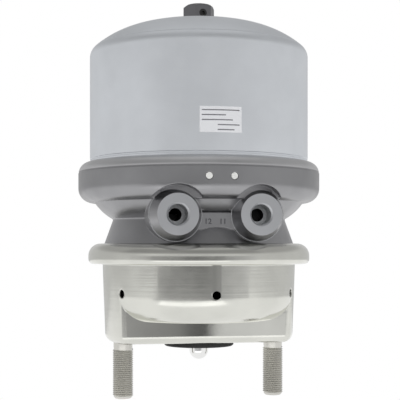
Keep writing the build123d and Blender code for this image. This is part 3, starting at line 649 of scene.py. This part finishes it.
# %% Boot and pushrod
boot_section = [
    (21.3, -4.0), (26.6, -4.0), (27.5, -3.1), (27.5, 1.0), (24.45, 1.0), (24.45, 3.0),
    (27.5, 3.0), (27.5, 5.5), (22.9, 5.5),
]
folds, first_z, last_z, first_r, last_r = 5, 5.5, 60.0, 21.3, 9.2
inside = [(first_r, first_z)]
for fold in range(folds):
    share, next_share = (fold + 0.5) / folds, (fold + 1) / folds
    crest = first_r - (first_r - last_r) * fold / folds + 3.5
    root = first_r - (first_r - last_r) * next_share
    boot_section += [(crest, first_z + (last_z - first_z) * share), (root + 1.6, first_z + (last_z - first_z) * next_share)]
    inside += [(crest - 1.6, first_z + (last_z - first_z) * share), (root, first_z + (last_z - first_z) * next_share)]
boot_section += [(10.0, 60.0), (10.0, 66.0), (7.55, 66.0), (7.55, 60.0), *reversed(inside[:-1])]
boot = turned("rubber_boot", boot_section, steps=72)
finish_mesh(boot, 35)
boot.data.materials.append(black_rubber)
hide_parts("sealing_boot")
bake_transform(boot)

push = turned("ball_end_rod", [
    *arc(0, -7.5, 7.5, -90, 0, 14), (7.5, 66.7), (12.0, 71.2), (12.0, 80.7), (0, 80.7),
], steps=72)
finish_mesh(push, 35)
dress(push, polished_rod, "pushrod", "pushrod")

# %% [markdown]
# The release bolt's hexagon sits on the crown. Its top corners are turned off, which is a cone cut
# through the hexagon. In its front flat sits a black set screw with a hexagon socket, which locks
# the hexagon on the bolt.

# %% Release nut and lock screw
nut_turn, flats, nut_top = radians(7.7), 22.0, crown_z + crown_r + 12.8
nut_corner = flats / sqrt(3)
nut = rod(nut_corner, nut_top - face_z, (0, 0, (nut_top + face_z) / 2), (0, 0, nut_turn + pi / 6), sides=6)
nut.name = "hexagon_nut"
cap = turned("nut_cap", [
    (0, face_z - 1), (14.0, face_z - 1), (14.0, nut_top - 3.6), (nut_corner - 3.0, nut_top - 0.2),
    (nut_corner - 3.6, nut_top), (0, nut_top),
], steps=96)
combine(nut, cap, "INTERSECT")
combine(nut, rod(6.05, 12.0, (0, 0, nut_top - 8.0)), "DIFFERENCE")
screw_z = face_z + 0.42 * (nut_top - face_z)
screw_way = Vector((sin(nut_turn), -cos(nut_turn), 0))
screw_turn = (pi / 2, 0, nut_turn)
face_spot = screw_way * flats / 2
combine(nut, rod(3.05, 10.0, (face_spot.x, face_spot.y, screw_z), screw_turn, sides=32), "DIFFERENCE")
finish_mesh(nut, 25)
dress(nut, dark_steel, "release_bolt", "release_nut")
screw_spot = screw_way * (flats / 2 - 2.6)
screw = rod(3.0, 4.8, (screw_spot.x, screw_spot.y, screw_z), screw_turn, sides=32)
screw.name = "lock_screw"
socket_spot = screw_way * (flats / 2)
socket = rod(1.75, 4.0, (socket_spot.x, socket_spot.y, screw_z), screw_turn, sides=6)
combine(screw, socket, "DIFFERENCE")
finish_mesh(screw, 30)
dress(screw, black_screw, "release_bolt", "nut_lock_screw")

# %% [markdown]
# Two white porous plugs sit in the rim's face. Each is a short cylinder with a slightly inset top.

# %% Breather plugs
for side in (-1, 1):
    angle = radians(side * 5.5)
    spot = Vector((sin(angle), -cos(angle), 0)) * (95.0 - 1.5)
    plug = rod(2.45, 2.7, (spot.x, spot.y, 124.0), (pi / 2, 0, angle), sides=32)
    plug.name = "breather_plug_left" if side < 0 else "breather_plug_right"
    finish_mesh(plug, 30)
    dress(plug, white_plug, "housing", "breather_plugs")

# %% [markdown]
# The casting carries the port numbers between the bosses: 12 for the parking line and 11 for the
# Text is made a mesh before it is put in place, and its dark finish is painted shade.

# %% Port numbers
for digits, place_x in (("12", -6.4), ("11", 4.6)):
    clear_selection()
    bpy.ops.object.text_add(location=(0, 0, 0))
    number = bpy.context.object
    number.name = "port_number_" + digits
    number.data.body = digits
    number.data.size = 5.6 * mm
    number.data.extrude = 0.25 * mm
    number.data.align_x = "CENTER"
    bpy.ops.object.convert(target="MESH")
    number = bpy.context.object
    number.rotation_euler = (pi / 2, 0, 0)
    number.location = (place_x * mm, (pad_y - 0.15) * mm, 90.4 * mm)
    finish_mesh(number, 30)
    # The digits get the painted shade finish, darker than the casting round them.
    dress(number, number_painted_shade, "housing")

# %% [markdown]
# A small white label is stuck on the can. It is left without words: thin bars stand in their place.
# A line is drawn at the can's radius and spun over the label's width only.

# %% Label
def sticker(name, low, high, first, last, lift, material):
    """A thin strip on the can between two heights and two angles from the front."""
    strip = draw_line(name, [(can_r + lift, low), (can_r + lift, high)])
    bpy.ops.object.mode_set(mode="EDIT")
    bpy.ops.mesh.select_all(action="SELECT")
    bpy.ops.transform.rotate(
        value=-radians(last - 90), orient_axis="Z", center_override=(0, 0, 0)
    )
    bpy.ops.mesh.spin(steps=8, angle=radians(last - first), center=(0, 0, 0), axis=(0, 0, 1))
    bpy.ops.mesh.select_all(action="SELECT")
    bpy.ops.mesh.normals_make_consistent(inside=False)
    bpy.ops.object.mode_set(mode="OBJECT")
    finish_mesh(strip, 30)
    middle = strip.data.polygons[len(strip.data.polygons) // 2]
    print(name, "faces the", "front" if middle.center.y < 0 else "back")
    return strip


label = sticker("label", 155.4, 174.0, -9.6, 10.9, 0.10, label_paper)
dress(label, label_paper, "housing")
for row, (first, last) in enumerate(((-8.6, 9.8), (-8.6, 3.0), (-8.6, 6.4), (-1.0, 9.8), (-1.0, 7.2))):
    low = 171.0 - 3.5 * row
    bar = sticker(f"label_bar_{row + 1}", low, low + 0.8, first, last, 0.16, label_ink)
    dress(bar, label_ink, "housing")
print("Label size:", [round(v / mm, 1) for v in label.dimensions])

# %% [markdown]
# The pieces inside keep their CAD solids. Each gets the finish that it has on the real object.

# %% Finishes of the inner pieces
inner = {
    "boot_clip": zinc_thread, "spring_seat": zinc_thread, "pushrod_plate": zinc_thread,
    "return_spring": spring_paint, "diaphragm": black_rubber, "housing_seal": black_rubber,
    "tube_seal": black_rubber, "tube_bush": guide_plastic, "power_spring": spring_paint,
    "parking_piston": piston_aluminium, "piston_seal": black_rubber,
    "piston_guide_ring": guide_plastic, "piston_tube": zinc_thread, "thrust_foot": black_rubber,
    "release_bolt": dark_steel, "thrust_washer": guide_plastic, "release_traveller": dark_steel,
}
for node, material in inner.items():
    solid = frame["nodes"][node]
    solid.data.materials.clear()
    solid.data.materials.append(material)
print("Inner pieces:", len(inner))

# %% [markdown]
# Three inner pieces are soft or springy and change their length when the chamber works. Each gets
# a merged copy of its solid as a piece of its own. The parking spring's coil and the diaphragm are
# left where they stand, on no body. The return spring's coil rides with the housing.

# %% Pieces that change their length
def own_copy(node, name, material):
    """A merged copy of an inner solid, which stands for that solid."""
    solid = frame["nodes"][node]
    mesh = solid.data.copy()
    mesh.transform(solid.matrix_world)
    mesh.name = name
    piece = bpy.data.objects.new(name, mesh)
    bpy.context.scene.collection.objects.link(piece)
    clear_selection()
    bpy.context.view_layer.objects.active = piece
    piece.select_set(True)
    bpy.ops.object.mode_set(mode="EDIT")
    tidy_mesh()
    bpy.ops.object.mode_set(mode="OBJECT")
    bpy.ops.object.shade_smooth_by_angle(angle=radians(40))
    mesh.materials.clear()
    mesh.materials.append(material)
    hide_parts(node)
    return piece


parking_coil = own_copy("power_spring", "parking_coil", spring_paint)
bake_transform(parking_coil)

sheet = own_copy("diaphragm", "rubber_diaphragm", black_rubber)
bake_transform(sheet)

return_coil = own_copy("return_spring", "return_coil", spring_paint)
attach(return_coil, "housing")
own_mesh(return_coil)
print("Deforming pieces:", boot.name, parking_coil.name, sheet.name, return_coil.name)

# %% [markdown]
# The stage is a pale floor far below, since the object hangs free in the photograph. Polished metal
# shows what stands round it, so the studio matters: its walls are bright high up and at the sides
# and dim low down on the camera's side, where a dark card stands. A soft box low in front gives the
# bright lines under the rim and the bead.

# %% Stage and light
def plain_stage_material(name, colour, strength):
    """White to the camera and in reflections, and a plain diffuse floor for everything else."""
    made = bpy.data.materials.new(name)
    made.use_nodes = True
    nodes, links = made.node_tree.nodes, made.node_tree.links
    nodes.clear()
    end = nodes.new("ShaderNodeOutputMaterial")
    path = nodes.new("ShaderNodeLightPath")
    matt = nodes.new("ShaderNodeBsdfDiffuse")
    matt.inputs["Color"].default_value = colour
    glow = nodes.new("ShaderNodeEmission")
    glow.inputs["Strength"].default_value = strength
    mix = nodes.new("ShaderNodeMixShader")
    seen = nodes.new("ShaderNodeMath")
    seen.operation = "ADD"
    seen.use_clamp = True
    through = nodes.new("ShaderNodeMath")
    through.operation = "ADD"
    links.new(path.outputs["Is Camera Ray"], through.inputs[0])
    links.new(path.outputs["Is Transmission Ray"], through.inputs[1])
    links.new(through.outputs[0], seen.inputs[0])
    links.new(path.outputs["Is Glossy Ray"], seen.inputs[1])
    links.new(seen.outputs[0], mix.inputs["Fac"])
    links.new(matt.outputs["BSDF"], mix.inputs[1])
    links.new(glow.outputs["Emission"], mix.inputs[2])
    links.new(mix.outputs["Shader"], end.inputs["Surface"])
    return made


clear_selection()
floor_z = -0.50
bpy.ops.mesh.primitive_plane_add(size=10, location=(0, 0, floor_z))
floor = bpy.context.object
floor.name = "floor"
floor.data.materials.append(plain_stage_material("floor_white", (0.85, 0.85, 0.84, 1), 1.0))

view_turn = radians(-10)


def soft_box(name, turn, height, distance, size, power, mirrored=True):
    """An area light that looks at the object from a turn about the axis, counted from the camera."""
    where = radians(turn) + view_turn
    spot = Vector((sin(where) * distance, -cos(where) * distance, height))
    data = bpy.data.lights.new(name, "AREA")
    data.shape = "RECTANGLE"
    data.size, data.size_y = size
    data.energy = power
    lamp = bpy.data.objects.new(name, data)
    bpy.context.collection.objects.link(lamp)
    lamp.location = spot
    lamp.rotation_euler = (Vector((0, 0, 0.1)) - spot).to_track_quat("-Z", "Y").to_euler()
    lamp.visible_glossy = mirrored
    return lamp


soft_box("left_box", -85, 0.45, 1.5, (1.0, 1.2), 3, mirrored=False)
soft_box("right_box", 75, 0.45, 1.5, (1.0, 1.2), 3, mirrored=False)
soft_box("front_fill", 10, 0.60, 1.6, (1.2, 0.8), 6, mirrored=False)
soft_box("low_box", -8, -0.42, 0.75, (1.3, 0.4), 0.7)

card_turn = radians(-10) + view_turn


def studio_card(name, first, last, low, high, away, level, end_level):
    """A card that shows only in mirrors, between two turns from the camera and two heights.

    Its level of light runs evenly from its left edge to its right edge.
    """
    clear_selection()
    bpy.ops.mesh.primitive_plane_add(size=1)
    made = bpy.context.object
    made.name = name
    left, right = [radians(turn) + view_turn for turn in (first, last)]
    corners = [
        (sin(turn) * away, -cos(turn) * away, height)
        for turn, height in ((left, low), (right, low), (left, high), (right, high))
    ]
    for vertex, corner in zip(made.data.vertices, corners):
        vertex.co = corner
    material = bpy.data.materials.new(name)
    material.use_nodes = True
    nodes = material.node_tree.nodes
    nodes.clear()
    links = material.node_tree.links
    place = nodes.new("ShaderNodeTexCoord")
    split = nodes.new("ShaderNodeSeparateXYZ")
    links.new(place.outputs["UV"], split.inputs["Vector"])
    run = nodes.new("ShaderNodeMapRange")
    run.inputs["To Min"].default_value = level
    run.inputs["To Max"].default_value = end_level
    links.new(split.outputs["X"], run.inputs["Value"])
    glow = nodes.new("ShaderNodeEmission")
    glow.inputs["Color"].default_value = (0.99, 0.99, 1.0, 1)
    links.new(run.outputs["Result"], glow.inputs["Strength"])
    end = nodes.new("ShaderNodeOutputMaterial")
    links.new(glow.outputs["Emission"], end.inputs["Surface"])
    made.data.materials.append(material)
    made.visible_camera = made.visible_diffuse = made.visible_shadow = False
    made.visible_transmission = False
    return made


studio_card("grey_card", -48, 3, -0.17, 0.17, 1.62, 0.37, 0.20)
studio_card("dark_card", 3, 17, -0.17, 0.17, 1.62, 0.20, 0.30)
studio_card("light_card", 17, 60, -0.17, 0.17, 1.62, 0.30, 0.62)
studio_card("low_side_card", -54, 12, -0.40, -0.17, 1.62, 0.60, 0.45)
studio_card("low_grey_card", 12, 18.4, -0.40, -0.17, 1.62, 0.45, 0.26)
studio_card("low_dark_card", 18.4, 20.8, -0.40, -0.17, 1.62, 0.22, 0.06)
studio_card("low_light_card", 20.8, 40, -0.40, -0.17, 1.62, 0.74, 0.84)

world = bpy.data.worlds.new("studio")
bpy.context.scene.world = world
world.use_nodes = True
world_nodes, world_links = world.node_tree.nodes, world.node_tree.links
sky = world_nodes["Background"]
sky.inputs["Color"].default_value = (1, 1, 1, 1)


def fade(value, start, end, low, high):
    """A smooth step of a value of the world's nodes."""
    step = world_nodes.new("ShaderNodeMapRange")
    step.interpolation_type = "SMOOTHSTEP"
    step.inputs["From Min"].default_value = start
    step.inputs["From Max"].default_value = end
    step.inputs["To Min"].default_value = low
    step.inputs["To Max"].default_value = high
    world_links.new(value, step.inputs["Value"])
    return step.outputs["Result"]


def blend_levels(share, first, second):
    """A blend of two levels of light; each is a number or the output of a node."""
    mix = world_nodes.new("ShaderNodeMix")
    world_links.new(share, mix.inputs["Factor"])
    for socket, level in (("A", first), ("B", second)):
        if isinstance(level, float):
            mix.inputs[socket].default_value = level
        else:
            world_links.new(level, mix.inputs[socket])
    return mix.outputs["Result"]


where = world_nodes.new("ShaderNodeTexCoord")
split = world_nodes.new("ShaderNodeSeparateXYZ")
world_links.new(where.outputs["Generated"], split.inputs["Vector"])
towards = world_nodes.new("ShaderNodeVectorMath")
towards.operation = "DOT_PRODUCT"
towards.inputs[1].default_value = (sin(card_turn), -cos(card_turn), 0)
world_links.new(where.outputs["Generated"], towards.inputs[0])
facing = towards.outputs["Value"]
low_level = fade(facing, 0.85, 0.40, 0.44, 0.62)
high_level = fade(facing, 0.85, 0.30, 0.74, 0.62)
rise = fade(split.outputs["Z"], 0.02, 0.12, 0.0, 1.0)
around = blend_levels(rise, low_level, high_level)
ceiling_level = fade(facing, 0.25, 0.0, 0.32, 0.42)
ceiling = blend_levels(fade(split.outputs["Z"], 0.25, 0.50, 0.0, 1.0), around, ceiling_level)
studio_level = blend_levels(fade(split.outputs["Z"], 0.75, 0.97, 0.0, 1.0), ceiling, 0.55)
path = world_nodes.new("ShaderNodeLightPath")
seen = world_nodes.new("ShaderNodeMath")
seen.operation = "ADD"
seen.use_clamp = True
world_links.new(path.outputs["Is Camera Ray"], seen.inputs[0])
world_links.new(path.outputs["Is Transmission Ray"], seen.inputs[1])
world_links.new(blend_levels(seen.outputs[0], studio_level, 1.0), sky.inputs["Strength"])
bpy.context.scene.view_settings.view_transform = "Standard"

# %% [markdown]
# The camera stands 0.82 m from the axis, a little below the middle of the object, and is turned 10
# degrees to the left, so that the ports look to the right. A small vertical shift frames the object
# and keeps its axis upright in the picture.

# %% Camera
distance, eye = 0.820, 0.073
picture, focal, axis_x, horizon_y = 400, 1032.7, 198.8, 248.0
camera_data = bpy.data.cameras.new("camera")
camera_data.sensor_width = 36
camera_data.lens = focal * 36 / picture
camera_data.shift_x = (picture / 2 - axis_x) / picture
camera_data.shift_y = (horizon_y - picture / 2) / picture
camera_data.clip_end = 20
camera = bpy.data.objects.new("camera", camera_data)
bpy.context.collection.objects.link(camera)
camera.location = (sin(view_turn) * distance, -cos(view_turn) * distance, eye)
camera.rotation_euler = (pi / 2, 0, view_turn)
bpy.context.scene.camera = camera
print("Lens:", round(camera_data.lens, 1), "mm")
